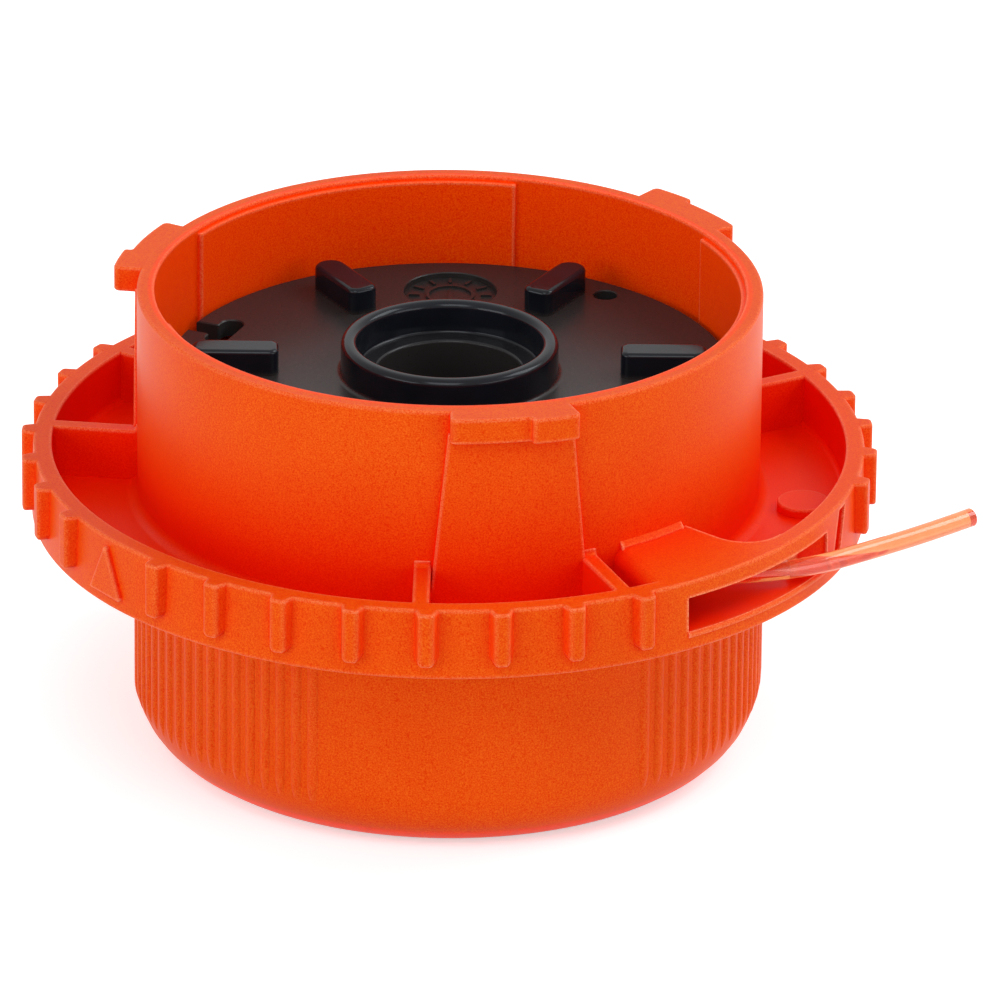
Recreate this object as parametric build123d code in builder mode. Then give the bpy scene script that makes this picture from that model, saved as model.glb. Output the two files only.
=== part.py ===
from build123d import *
import math
import os

# Trimmer line cassette: an orange housing, a black reel that turns in it, and the line on the reel.
# Millimetres. +Z is up and the origin is on the axis, at the underside of the cup. Angles are degrees
# counter-clockwise from +X, seen from above. The front is -Y, and the line leaves at the front right.

# Housing: bore, walls and heights
bore_r = 37.1
collar_wall = 2.2
cup_wall = 2.5
floor_t = 2.5
housing_h = 60.5
bottom_edge_r = 7.8
rim_edge_r = 0.35

# Flange round the housing, with a trough between its rim and the collar
trough_w = 10.74
flange_rim = 2.36
flange_bottom_z = 30.55
flange_h = 9.2
flange_draft = 0.2
trough_floor_t = 2.5
trough_fillet_r = 1.5

# Features that repeat three times round the housing
sectors = 3
lug_h = 3.3
lug_proud = 2.55
lug_step = 1.0
lug_step_flat = 0.2
lug_start = 30.2
lug_stop_start = 44.0
lug_end = 52.3
panel_proud = 0.75
panel_mid = 41.25
panel_top_w = 15.6
panel_foot_w = 20.4
liner_t = 0.65
liner_start = 77.0
liner_end = 150.0
liner_drop = 0.65
rib_t = 2.1
rib_angles = (25.9, 55.7)
rib_lean = 3.2

# Grip nubs on the flange, with one place taken by an index mark
nub_pitch = 10.0
nub_first = 7.25
nub_w = 1.9
nub_flare = 0.6
nub_proud = 1.6
nub_edge_r = 0.6
nub_foot_gap = 2.0
mark_angle = -143.2
mark_w = 6.5
mark_foot_gap = 1.65
mark_top_gap = 0.75
mark_proud = 0.75

# Slanting notch beside the slot that takes another nub's place
notch_angle = -21.5
notch_w = 2.3
notch_lean = 19.0
notch_depth = 1.1
notch_top_gap = 0.75

# Grip ribs on the cup, in three bands
grip_count = 18
grip_pitch = 3.33
grip_mid = -23.1
grip_r = 0.9
grip_proud = 0.4
grip_foot_z = 1.0

# Way out for the line: window in the collar, cover plate over the trough, slot in the flange's rim
slot_left = -55.6
slot_right = -26.0
slot_lip_h = 0.75
slot_lip_proud = 0.4
slot_lip_r = 0.5
ramp_span = 6.5
ramp_step = 0.35
window_left = -57.5
window_right = -42.5
plate_t = 2.15
plate_margin = 0.9
plate_flare = 2.1
plate_corner_r = 5.5
plate_edge_r = 2.0
strip_margin = 0.3
strip_w = 0.55
strip_h = 0.85
strip_foot_h = 0.2
stud_angle = -7.0
stud_inset = 5.7
stud_r = 3.3
stud_h = 1.2

# Spigot and thrust ring that the reel runs on
spigot_r = 5.95
spigot_wall = 2.35
spigot_top_gap = 4.0
thrust_margin = 0.6
thrust_h = 1.5

# Reel
reel_clearance = 0.65
running_clearance = 0.05
thrust_clearance = 0.1
reel_foot_h = 17.7
reel_flange_t = 2.2
reel_w = 22.8
drum_gap = 1.94
drum_wall = 2.2
sleeve_wall = 2.4
web_count = 6
web_t = 1.8
web_inset = 5.8
web_foot = 6.0
boss_wall = 2.1
boss_h = 4.5
boss_rim_flat = 0.3
boss_foot_r = 0.6
counterbore_step = 2.54
counterbore_h = 4.06
drive_r = 9.06
drive_h = 11.4

# Drive dogs and small features on the reel's upper flange, with their distances from its rim
dog_count = 6
dog_inset = 3.3
dog_l = 11.0
dog_w = 4.0
dog_h = 3.4
dog_tip_flat = 0.1
dog_corner_r = 1.2
dog_chamfer = 0.45
stamp_r = 5.95
stamp_inset = 9.4
stamp_angle = 90.0
stamp_depth = 0.8
keyhole_w = 2.9
keyhole_l = 7.6
keyhole_inset = 4.6
keyhole_angle = 156.4
eye_r = 1.5
eye_inset = 3.6
eye_angle = 52.0

# Line
line_d = 2.4
line_layers = 5
winding_fit = 0.05
groove_depth = 0.6
tail_lift = 0.6
tail_points = [
    (-1.7, -27.8),
    (9.5, -28.9),
    (21.5, -29.9),
    (33.0, -30.5),
    (44.3, -28.05),
    (53.0, -21.9),
    (60.5, -16.2),
    (65.5, -11.8),
]
tail_arc_share = 0.45

# Depth by which a feature is sunk into its wall before they are joined
joint_depth = 0.5

# Sizes that follow from those above
collar_r = bore_r + collar_wall
cup_r = bore_r + cup_wall
trough_r = collar_r + trough_w
flange_r = trough_r + flange_rim
flange_top_z = flange_bottom_z + flange_h
trough_z = flange_bottom_z + trough_floor_t
slot_z = flange_top_z - plate_t
slot_h = slot_z - trough_z
ramp_start = slot_right - ramp_span
plate_left = window_left - plate_margin
plate_right = window_right + plate_margin
strip_left = window_left + strip_margin
strip_right = window_right - strip_margin
thrust_z = floor_t + thrust_h
liner_r = bore_r - liner_t
lug_r = collar_r + lug_proud
lug_stop_r = lug_r + lug_step
lug_corner_r = lug_step - lug_step_flat
nub_root_w = nub_w + 2 * nub_flare
nub_foot_z = flange_bottom_z + nub_foot_gap
notch_top_z = flange_top_z - notch_top_gap
notch_shift = (notch_top_z - trough_z) / 2 * math.tan(math.radians(notch_lean))
grip_centre_r = cup_r + grip_proud - grip_r

reel_z = thrust_z + thrust_clearance
reel_bore_r = spigot_r + running_clearance
sleeve_r = reel_bore_r + sleeve_wall
reel_low_z = reel_z + reel_foot_h
wind_low_z = reel_low_z + reel_flange_t
wind_top_z = wind_low_z + reel_w
reel_top_z = wind_top_z + reel_flange_t
reel_r = liner_r - reel_clearance
boss_top_z = reel_top_z + boss_h
counterbore_z = boss_top_z - counterbore_h
drive_z = counterbore_z - drive_h
counterbore_r = drive_r + counterbore_step
boss_r = counterbore_r + boss_wall
boss_edge_r = (boss_wall - boss_rim_flat) / 2
drive_wall_r = drive_r + sleeve_wall
drum_inner_r = drive_wall_r + drum_gap
drum_r = drum_inner_r + drum_wall
thrust_r = sleeve_r + thrust_margin
spigot_core_r = spigot_r - spigot_wall
spigot_top_z = drive_z - spigot_top_gap
dog_outer_r = reel_r - dog_inset
dog_inner_r = dog_outer_r - dog_l
dog_tip_r = (dog_w - dog_tip_flat) / 2
keyhole_centre_r = reel_r - keyhole_inset
line_r = line_d / 2
tail_z = trough_z + tail_lift + line_r
winding_r = drum_r + line_d + (line_layers - 1) * line_d * math.sqrt(3) / 2


def polar(radius, angle):
    """Point at a radius and an angle from +X."""
    return (radius * math.cos(math.radians(angle)), radius * math.sin(math.radians(angle)))


def turned_profile(corners):
    """Closed face in the open sketch, from corners of radius, height and rounding."""
    points = [(radius, height) for radius, height, _ in corners]
    with BuildLine() as outline:
        FilletPolyline(points, radius=[rounding for _, _, rounding in corners], close=True)
    make_face(outline.edges())


def ring_sector(inner_r, outer_r, start, end):
    """Face of part of a ring in the open sketch, between two radii and two angles."""
    with BuildLine() as outline:
        CenterArc((0, 0), inner_r, start, end - start)
        CenterArc((0, 0), outer_r, start, end - start)
        Line(polar(inner_r, start), polar(outer_r, start))
        Line(polar(inner_r, end), polar(outer_r, end))
    make_face(outline.edges())


def facing(angle, point=(0, 0)):
    """Upright plane through a point that faces an angle's way, with +Z as its y."""
    across = (-math.sin(math.radians(angle)), math.cos(math.radians(angle)), 0)
    ahead = (math.cos(math.radians(angle)), math.sin(math.radians(angle)), 0)
    return Plane(origin=(*point, 0), x_dir=across, z_dir=ahead)


def upright(angle):
    """Upright plane through the axis, with its x pointing outwards at an angle and +Z as its y."""
    outward = (math.cos(math.radians(angle)), math.sin(math.radians(angle)), 0)
    return Plane(origin=(0, 0, 0), x_dir=outward, z_dir=(outward[1], -outward[0], 0))


def turns(angles):
    """Locations turned about the axis."""
    return [Location((0, 0, 0), (0, 0, angle)) for angle in angles]


os.makedirs("parts", exist_ok=True)

# Places of the grip nubs: none in the slot, and none where the index mark and the notch are
nub_angles = []
for place in range(round(360 / nub_pitch)):
    angle = (nub_first + nub_pitch * place + 180) % 360 - 180
    in_slot = slot_left < angle < slot_right
    at_mark = abs(angle - mark_angle) < nub_pitch / 2
    at_notch = abs(angle - notch_angle) < nub_pitch / 2
    if not in_slot and not at_mark and not at_notch:
        nub_angles.append(angle)

# Bayonet lug: a low part, then a prouder stop
with BuildPart() as lug:
    with BuildSketch(Plane.XY.offset(housing_h - lug_h)) as lug_plan:
        ring_sector(collar_r - joint_depth, lug_r, lug_start, lug_end)
        ring_sector(collar_r - joint_depth, lug_stop_r, lug_stop_start, lug_end)
        for radius, angle in ((lug_r, lug_start), (lug_stop_r, lug_stop_start), (lug_stop_r, lug_end)):
            fillet(lug_plan.vertices().sort_by_distance(polar(radius, angle))[0], lug_corner_r)
    extrude(amount=lug_h)

# Raised trapezoid under each lug, with the collar's own curve
with BuildPart() as panel:
    with BuildSketch(facing(panel_mid)):
        with BuildLine():
            Polyline(
                (-panel_foot_w / 2, trough_z - joint_depth),
                (panel_foot_w / 2, trough_z - joint_depth),
                (panel_top_w / 2, housing_h - lug_h),
                (-panel_top_w / 2, housing_h - lug_h),
                close=True,
            )
        make_face()
    extrude(amount=flange_r)
    with BuildSketch(Plane.XY):
        Circle(collar_r + panel_proud)
        Circle(collar_r - joint_depth, mode=Mode.SUBTRACT)
    extrude(amount=housing_h, mode=Mode.INTERSECT)

# Thicker stretch of the collar's inside
with BuildPart() as liner:
    with BuildSketch(Plane.XY.offset(flange_top_z)):
        ring_sector(liner_r, bore_r + joint_depth, liner_start, liner_end)
    extrude(amount=housing_h - liner_drop - flange_top_z)

# Pair of ribs across the trough that lean towards each other
with BuildPart() as rib_pair:
    with BuildSketch(Plane.XY.offset(trough_z - joint_depth)):
        for angle, lean in zip(rib_angles, (rib_lean, -rib_lean)):
            with Locations(Location((*polar(collar_r + trough_w / 2, angle), 0), (0, 0, angle + lean))):
                Rectangle(trough_w + 2 * joint_depth, rib_t)
    extrude(amount=flange_top_z - trough_z + joint_depth)

# Grip nub with sloping flanks, soft corners and a round foot, level with the flange's top
with BuildPart() as nub:
    with BuildSketch(Plane.XY.offset(nub_foot_z)) as nub_plan:
        with BuildLine():
            Polyline(
                (flange_r - joint_depth, -nub_root_w / 2),
                (flange_r + nub_proud, -nub_w / 2),
                (flange_r + nub_proud, nub_w / 2),
                (flange_r - joint_depth, nub_root_w / 2),
                close=True,
            )
        make_face()
        fillet(nub_plan.vertices().group_by(Axis.X)[-1], nub_edge_r)
    extrude(amount=flange_top_z - nub_foot_z)
    with BuildSketch(Plane.YZ):
        with Locations((0, flange_top_z)):
            SlotOverall(2 * (flange_top_z - nub_foot_z), nub_root_w, rotation=90)
    extrude(amount=flange_r + 2 * nub_proud, mode=Mode.INTERSECT)

# Index mark that points up
with BuildPart() as mark:
    with BuildSketch(facing(mark_angle, polar(flange_r - joint_depth, mark_angle))):
        with BuildLine():
            Polyline(
                (-mark_w / 2, flange_bottom_z + mark_foot_gap),
                (mark_w / 2, flange_bottom_z + mark_foot_gap),
                (0, flange_top_z - mark_top_gap),
                close=True,
            )
        make_face()
    extrude(amount=joint_depth + mark_proud)

# Band of grip ribs that run out on the cup's bottom rounding
with BuildPart() as grip_band:
    with BuildSketch(Plane.XY.offset(grip_foot_z)):
        grip_angles = [grip_mid + grip_pitch * (i - (grip_count - 1) / 2) for i in range(grip_count)]
        with Locations(*[polar(grip_centre_r, angle) for angle in grip_angles]):
            Circle(grip_r)
    extrude(amount=flange_bottom_z - grip_foot_z + joint_depth)
    with BuildSketch(Plane.XZ):
        turned_profile(
            [
                (0, grip_foot_z, 0),
                (cup_r + grip_proud, grip_foot_z, bottom_edge_r),
                (cup_r + grip_proud, flange_bottom_z + joint_depth, 0),
                (0, flange_bottom_z + joint_depth, 0),
            ]
        )
    revolve(axis=Axis.Z, mode=Mode.INTERSECT)

# Plate that covers the line's way across the trough, with a wall under its rounded left end
plate_end_in = polar(collar_r - joint_depth, plate_left)
plate_end_out = polar(trough_r + joint_depth, plate_left - plate_flare)
plate_end_run = Vector(*plate_end_out) - Vector(*plate_end_in)
plate_end_way = math.degrees(math.atan2(plate_end_run.Y, plate_end_run.X))
with BuildPart() as cover_plate:
    with BuildSketch(Plane.XY.offset(slot_z)) as plate_plan:
        Circle(trough_r + joint_depth)
        Circle(trough_r, mode=Mode.SUBTRACT)
        ring_sector(collar_r - joint_depth, trough_r + joint_depth, window_left, plate_right)
        inner_corner = polar(trough_r, plate_right)
        fillet(plate_plan.vertices().sort_by_distance(inner_corner)[0], plate_corner_r)
    extrude(amount=flange_top_z - slot_z)
    with BuildSketch(Plane.XY.offset(trough_z - joint_depth)):
        with BuildLine():
            Polyline(
                plate_end_in,
                plate_end_out,
                polar(trough_r + joint_depth, window_left),
                polar(collar_r - joint_depth, window_left),
                close=True,
            )
        make_face()
    extrude(amount=flange_top_z - trough_z + joint_depth)
    with BuildSketch(facing(plate_end_way, plate_end_in)):
        with BuildLine():
            RadiusArc((0, flange_top_z - plate_edge_r), (plate_edge_r, flange_top_z), plate_edge_r)
            Polyline(
                (plate_edge_r, flange_top_z),
                (-plate_edge_r, flange_top_z),
                (-plate_edge_r, flange_top_z - plate_edge_r),
                (0, flange_top_z - plate_edge_r),
            )
        make_face()
    extrude(amount=trough_w + flange_rim, mode=Mode.SUBTRACT)

# Housing: cup, flange and collar in one moulding
with BuildPart() as housing:
    with BuildSketch(Plane.XZ):
        turned_profile(
            [
                (0, 0, 0),
                (cup_r, 0, bottom_edge_r),
                (cup_r, flange_bottom_z, 0),
                (flange_r + flange_draft, flange_bottom_z, 0),
                (flange_r, flange_top_z, 0),
                (trough_r, flange_top_z, 0),
                (trough_r, trough_z, 0),
                (collar_r, trough_z, trough_fillet_r),
                (collar_r, housing_h, rim_edge_r),
                (bore_r, housing_h, 0),
                (bore_r, floor_t, bottom_edge_r - cup_wall),
                (thrust_r, floor_t, 0),
                (thrust_r, thrust_z, 0),
                (spigot_r, thrust_z, 0),
                (spigot_r, spigot_top_z, 0),
                (spigot_core_r, spigot_top_z, 0),
                (spigot_core_r, thrust_z, 0),
                (0, thrust_z, 0),
            ]
        )
    revolve(axis=Axis.Z)
    with PolarLocations(0, sectors):
        add(panel.part)
        add(lug.part)
        add(liner.part)
        add(rib_pair.part)
        add(grip_band.part)
    with Locations(turns(nub_angles)):
        add(nub.part)
    add(mark.part)
    add(cover_plate.part)
    with BuildSketch(upright(strip_left)):
        with BuildLine():
            Polyline(
                (collar_r - joint_depth, flange_top_z - joint_depth),
                (collar_r + strip_w, flange_top_z - joint_depth),
                (collar_r + strip_w, flange_top_z + strip_foot_h),
                (collar_r, flange_top_z + strip_h),
                (collar_r - joint_depth, flange_top_z + strip_h),
                close=True,
            )
        make_face()
    revolve(axis=Axis.Z, revolution_arc=strip_right - strip_left)
    with BuildSketch(Plane.XY.offset(trough_z - joint_depth)):
        with Locations(polar(collar_r + stud_inset, stud_angle)):
            Circle(stud_r)
    extrude(amount=joint_depth + stud_h)

    # Slot, with a ramp at its right end that the line slides along
    with BuildSketch(Plane.XY.offset(trough_z)):
        with BuildLine():
            Polyline(
                polar(trough_r - flange_rim, slot_left),
                polar(flange_r + 2 * flange_rim, slot_left),
                polar(flange_r + 2 * flange_rim, slot_right),
                polar(flange_r - ramp_step, slot_right),
                polar(trough_r, ramp_start),
                polar(trough_r - flange_rim, ramp_start),
                close=True,
            )
        make_face()
    extrude(amount=slot_h, mode=Mode.SUBTRACT)

    # Lip along the slot's lower edge
    with BuildSketch(upright(slot_left)):
        turned_profile(
            [
                (flange_r - joint_depth, trough_z - slot_lip_h, 0),
                (flange_r + slot_lip_proud, trough_z - slot_lip_h, 0),
                (flange_r + slot_lip_proud, trough_z, slot_lip_r),
                (flange_r - joint_depth, trough_z, 0),
            ]
        )
    revolve(axis=Axis.Z, revolution_arc=slot_right - slot_left)

    # Notch that leans with the line
    with BuildSketch(facing(notch_angle, polar(flange_r - notch_depth, notch_angle))):
        with BuildLine():
            Polyline(
                (-notch_w / 2 - notch_shift, trough_z),
                (notch_w / 2 - notch_shift, trough_z),
                (notch_w / 2 + notch_shift, notch_top_z),
                (-notch_w / 2 + notch_shift, notch_top_z),
                close=True,
            )
        make_face()
    extrude(amount=notch_depth + nub_proud, mode=Mode.SUBTRACT)

    # Window in the collar
    with BuildSketch(Plane.XY.offset(trough_z)):
        ring_sector(bore_r - joint_depth, collar_r + trough_fillet_r, window_left, window_right)
    extrude(amount=slot_h, mode=Mode.SUBTRACT)
housing.part.label = "housing"
export_step(housing.part, "parts/housing.step")

# Drive dog: round at its outer end, with soft corners at its inner end
with BuildPart() as dog:
    with BuildSketch(Plane.XY.offset(reel_top_z - joint_depth)) as dog_plan:
        with Locations(((dog_inner_r + dog_outer_r) / 2, 0)):
            Rectangle(dog_outer_r - dog_inner_r, dog_w)
        fillet(dog_plan.vertices().group_by(Axis.X)[-1], dog_tip_r)
        fillet(dog_plan.vertices().group_by(Axis.X)[0], dog_corner_r)
    extrude(amount=joint_depth + dog_h)
    chamfer(dog.edges().group_by(Axis.Z)[-1], dog_chamfer)

# Web inside the drum that runs on as a gusset below the lower flange
with BuildPart() as web:
    with BuildSketch(Plane.XZ):
        with BuildLine():
            Polyline(
                (sleeve_r - joint_depth, reel_z + web_foot),
                (sleeve_r - joint_depth, drive_z - joint_depth),
                (drive_wall_r - joint_depth, drive_z - joint_depth),
                (drive_wall_r - joint_depth, wind_top_z + joint_depth),
                (drum_inner_r + joint_depth, wind_top_z + joint_depth),
                (drum_inner_r + joint_depth, reel_low_z + joint_depth),
                (reel_r - web_inset, reel_low_z + joint_depth),
                (reel_r - web_inset, reel_low_z - joint_depth),
                (sleeve_r + joint_depth, reel_z + web_foot),
                close=True,
            )
        make_face()
    extrude(amount=web_t / 2, both=True)

# Reel: flanges, hollow drum, boss with the drive bore, and a sleeve that runs on the spigot
with BuildPart() as spool:
    with BuildSketch(Plane.XZ):
        turned_profile(
            [
                (reel_bore_r, reel_z, 0),
                (sleeve_r, reel_z, 0),
                (sleeve_r, drive_z - sleeve_wall, 0),
                (drive_wall_r, drive_z - sleeve_wall, 0),
                (drive_wall_r, wind_top_z, 0),
                (drum_inner_r, wind_top_z, 0),
                (drum_inner_r, reel_low_z, 0),
                (reel_r, reel_low_z, 0),
                (reel_r, wind_low_z, 0),
                (drum_r, wind_low_z, 0),
                (drum_r, wind_top_z, 0),
                (reel_r, wind_top_z, 0),
                (reel_r, reel_top_z, 0),
                (boss_r, reel_top_z, boss_foot_r),
                (boss_r, boss_top_z, boss_edge_r),
                (counterbore_r, boss_top_z, boss_edge_r),
                (counterbore_r, counterbore_z, 0),
                (drive_r, counterbore_z, 0),
                (drive_r, drive_z, 0),
                (reel_bore_r, drive_z, 0),
            ]
        )
    revolve(axis=Axis.Z)
    with PolarLocations(0, dog_count):
        add(dog.part)
    with PolarLocations(0, web_count):
        add(web.part)
    with BuildSketch(Plane.XY.offset(reel_top_z)):
        with Locations(polar(reel_r - stamp_inset, stamp_angle)):
            Circle(stamp_r)
    extrude(amount=-stamp_depth, mode=Mode.SUBTRACT)
    with BuildSketch(Plane.XY.offset(reel_top_z)):
        with Locations(Location((*polar(keyhole_centre_r, keyhole_angle), 0), (0, 0, keyhole_angle))):
            SlotOverall(keyhole_l, keyhole_w, rotation=90)
            Rectangle(reel_r, keyhole_w, align=(Align.MIN, Align.CENTER))
        with Locations(polar(reel_r - eye_inset, eye_angle)):
            Circle(eye_r)
    extrude(amount=-reel_flange_t, mode=Mode.SUBTRACT)
spool.part.label = "spool"
export_step(spool.part, "parts/spool.step")

# Wound line: one solid with a ridge for each turn of the outer layer
turns_across = int(reel_w // line_d)
winding_w = turns_across * line_d
winding_z = (wind_low_z + wind_top_z - winding_w) / 2
groove_r = winding_r - groove_depth
ridge_corners = []
for turn in range(turns_across):
    ridge_z = winding_z + turn * line_d
    ridge_corners.append((groove_r, ridge_z))
    ridge_corners.append((winding_r, ridge_z + groove_depth))
    ridge_corners.append((winding_r, ridge_z + line_d - groove_depth))
with BuildPart() as line_winding:
    with BuildSketch(Plane.XZ):
        with BuildLine():
            Polyline(
                (drum_r + winding_fit, winding_z),
                *ridge_corners,
                (groove_r, winding_z + winding_w),
                (drum_r + winding_fit, winding_z + winding_w),
                close=True,
            )
        make_face()
    revolve(axis=Axis.Z)
line_winding.part.label = "line_winding"
export_step(line_winding.part, "parts/line_winding.step")

# Free end of the line, from the winding out through the window and the slot
tail_route = [Vector(x, y, tail_z) for x, y in tail_points]
tail_runs = [end - start for start, end in zip(tail_route, tail_route[1:])]
tail_radii = []
for before, after in zip(tail_runs, tail_runs[1:]):
    half_turn = math.radians(before.get_angle(after)) / 2
    tail_radii.append(tail_arc_share * min(before.length, after.length) / math.tan(half_turn))
with BuildPart() as line_tail:
    with BuildLine() as tail_path:
        FilletPolyline(tail_route, radius=tail_radii)
    with BuildSketch(Plane(origin=tail_route[0], z_dir=tail_runs[0])):
        Circle(line_r)
    sweep(path=tail_path.line)
line_tail.part.label = "line_tail"
export_step(line_tail.part, "parts/line_tail.step")

tail_length = sum(edge.length for edge in tail_path.edges())
tail_volume = math.pi * line_r**2 * tail_length
print("tail radii", [round(radius, 1) for radius in tail_radii])
print("tail length", round(tail_length, 2))
print("tail volume over section times length", round(line_tail.part.volume / tail_volume, 4))
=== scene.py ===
import math

import bmesh
import bpy
from mathutils import Matrix, Vector


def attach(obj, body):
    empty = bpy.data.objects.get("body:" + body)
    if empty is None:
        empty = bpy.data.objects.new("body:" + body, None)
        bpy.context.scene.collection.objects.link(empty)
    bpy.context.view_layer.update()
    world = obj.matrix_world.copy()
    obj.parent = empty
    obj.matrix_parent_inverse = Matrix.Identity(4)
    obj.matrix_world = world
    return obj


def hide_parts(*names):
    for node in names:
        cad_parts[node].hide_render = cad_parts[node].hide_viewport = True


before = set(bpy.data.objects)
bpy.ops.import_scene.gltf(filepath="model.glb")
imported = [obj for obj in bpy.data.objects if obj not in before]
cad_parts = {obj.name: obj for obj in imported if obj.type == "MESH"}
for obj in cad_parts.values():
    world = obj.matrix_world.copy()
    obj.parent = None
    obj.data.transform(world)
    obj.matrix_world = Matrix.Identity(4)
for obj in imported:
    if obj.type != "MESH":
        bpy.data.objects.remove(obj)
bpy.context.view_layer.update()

bl_info = {
    "name": "Trimmer line cassette",
    "version": (1, 0, 0),
    "blender": (4, 5, 0),
    "location": "View3D > Sidebar > Cassette",
    "description": "Builds the housing, reel and line of a trimmer line cassette, and a studio round it",
    "category": "Mesh",
}

# Shapes are drawn in millimetres and degrees, and become metres when they are made objects.
# Angles count counter-clockwise from +X, seen from above. The front is -Y.
MM = 0.001
HOUSING = "housing"
REEL = "spool"
ARC_STEP = math.radians(11)
EDGE_STEPS = 4
TURN_STEPS = 216
BEND_STEP = 1.2
SUNK = 0.5
MERGE_GAP = 0.01
SHARP_ANGLE = math.radians(34)

# Housing: cup, flange with its trough, collar
BORE_R = 37.1
COLLAR_R = 39.3
CUP_R = 39.6
CUP_EDGE_R = 7.8
FLOOR_TOP = 2.5
FLANGE_BOTTOM = 30.55
TROUGH_FLOOR = 33.05
FLANGE_TOP = 39.75
HOUSING_TOP = 60.5
TROUGH_R = 50.04
FLANGE_R = 52.4
FLANGE_FOOT_R = 52.6
SPIGOT_R = 5.95
SPIGOT_CORE_R = 3.6
SPIGOT_TOP = 34.04
THRUST_R = 9.0
THRUST_TOP = 4.0

# Housing: roundings of that turned shape
CUP_FILLET_R = 0.5
FLANGE_FOOT_EDGE_R = 0.35
FLANGE_EDGE_R = 0.3
RIM_EDGE_R = 0.25
TROUGH_CORNER_R = 0.7
TROUGH_FILLET_R = 1.5
COLLAR_EDGE_R = 0.35
BORE_EDGE_R = 0.25
FLOOR_FILLET_R = 5.3
THRUST_EDGE_R = 0.2
SPIGOT_EDGE_R = 0.5
INNER_SOFT_R = 0.3

# Housing: what repeats every third of a turn
THIRDS = 3
LUG_FOOT = 57.2
LUG_R = 41.85
LUG_STOP_R = 42.85
LUG_START = 30.2
LUG_STOP_START = 44.0
LUG_END = 52.3
LUG_CORNER_R = 0.8
LUG_STOP_CORNER_R = 0.5
LUG_STEP_R = 0.35
PANEL_MID = 41.25
PANEL_FOOT_W = 20.4
PANEL_TOP_W = 15.6
PANEL_R = 40.05
PANEL_STEPS = 30
LINER_R = 36.45
LINER_TOP = 59.85
LINER_START = 77.0
LINER_END = 150.0
RIB_T = 2.1
RIB_LEANS = {25.9: 3.2, 55.7: -3.2}
RIB_FILLET_R = 0.5
RIB_FILLET_PROUD = 0.15

# Housing: grip nubs round the flange, the index mark, and the grip ribs on the cup
NUB_PLACES = 32
NUB_PITCH = 10.0
NUB_FIRST = -12.75
NUB_OF_MARK = 23
NUB_R = 54.0
NUB_W = 1.9
NUB_ROOT_W = 3.1
NUB_CORNER_R = 0.6
NUB_FOOT = 32.55
NUB_FOOT_EDGE = 0.4
MARK_ANGLE = -143.2
MARK_W = 6.5
MARK_FOOT = 32.2
MARK_TOP = 39.0
MARK_R = 53.15
MARK_CORNER_R = 0.3
GRIP_COUNT = 18
GRIP_PITCH = 3.33
GRIP_FIRST = -51.4
GRIP_R = 0.9
GRIP_PROUD = 0.4
GRIP_FOOT = 1.0
GRIP_RUN_OUT = math.radians(40)
GRIP_STEPS = 6
GRIP_SIDES = 14

# Housing: the line's way out
SLOT_TOP = 37.6
SLOT_LEFT = -55.6
SLOT_RIGHT = -26.0
SLOT_LIP_FOOT = 32.3
SLOT_LIP_R = 52.8
SLOT_LIP_EDGE = 0.5
SLOT_LIP_FOOT_EDGE = 0.15
SLOT_CUT_INWARDS = 2.0
SLOT_CUT_OUTWARDS = 5.0
RAMP_START = -32.5
RAMP_STEP = 0.35
WINDOW_LEFT = -57.5
WINDOW_RIGHT = -42.5
PLATE_LEFT = -58.4
PLATE_LEFT_RIM = -60.5
PLATE_RIGHT = -41.6
PLATE_OVERLAP = 0.5
PLATE_CORNER_R = 5.5
PLATE_EDGE_R = 2.0
STRIP_LEFT = -57.2
STRIP_RIGHT = -42.8
STRIP_W = 0.55
STRIP_H = 0.85
STRIP_FOOT_H = 0.2
NOTCH_ANGLE = -21.5
NOTCH_W = 2.3
NOTCH_LEAN = math.radians(19)
NOTCH_DEPTH = 1.1
NOTCH_TOP = 39.0
NOTCH_CORNER_R = 0.2
STUD_ANGLE = -7.0
STUD_PITCH_R = 45.0
STUD_R = 3.3
STUD_H = 1.2
STUD_SIDES = 48

# Reel
REEL_R = 35.8
REEL_FOOT = 4.1
REEL_LOW = 21.8
WIND_LOW = 24.0
WIND_TOP = 46.8
REEL_TOP = 49.0
REEL_EDGE_R = 0.4
BOSS_TOP = 53.5
BOSS_R = 13.7
BOSS_EDGE_R = 0.9
BOSS_FILLET_R = 0.6
COUNTERBORE_R = 11.6
COUNTERBORE_FLOOR = 49.44
DRIVE_R = 9.06
DRIVE_FLOOR = 38.04
DRIVE_WALL_R = 11.46
SLEEVE_R = 8.4
SLEEVE_BORE_R = 6.0
SLEEVE_TOP = 35.64
SLEEVE_EDGE_R = 0.3
DRUM_R = 15.6
DRUM_INNER_R = 13.4
WEB_COUNT = 6
WEB_T = 1.8
WEB_REACH = 30.0
WEB_FOOT = 10.1
DOG_COUNT = 6
DOG_INNER_R = 21.5
DOG_OUTER_R = 32.5
DOG_W = 4.0
DOG_TOP = 52.4
DOG_CORNER_R = 1.2
DOG_END_R = 1.95
HOLE_FLARE = 0.12
STAMP_R = 5.95
STAMP_PITCH_R = 26.4
STAMP_ANGLE = 90.0
STAMP_DEPTH = 0.8
STAMP_SIDES = 72
STAMP_MARK_H = 0.3
STAMP_RING_R = (2.7, 3.1)
STAMP_POINTER = [(-0.35, -1.9), (0.35, -1.9), (0.0, 2.1)]
STAMP_TICK = [(-0.7, -0.18), (0.7, -0.18), (0.7, 0.18), (-0.7, 0.18)]
STAMP_TICK_R = 4.6
STAMP_TICKS = 12
KEYHOLE_W = 2.9
KEYHOLE_L = 7.6
KEYHOLE_PITCH_R = 31.2
KEYHOLE_ANGLE = 156.4
KEYHOLE_ROUNDNESS = 0.98
KEYHOLE_NECK_R = 0.3
KEYHOLE_NECK_PAST_RIM = 1.0
KEYHOLE_FLARE = 0.15
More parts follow.
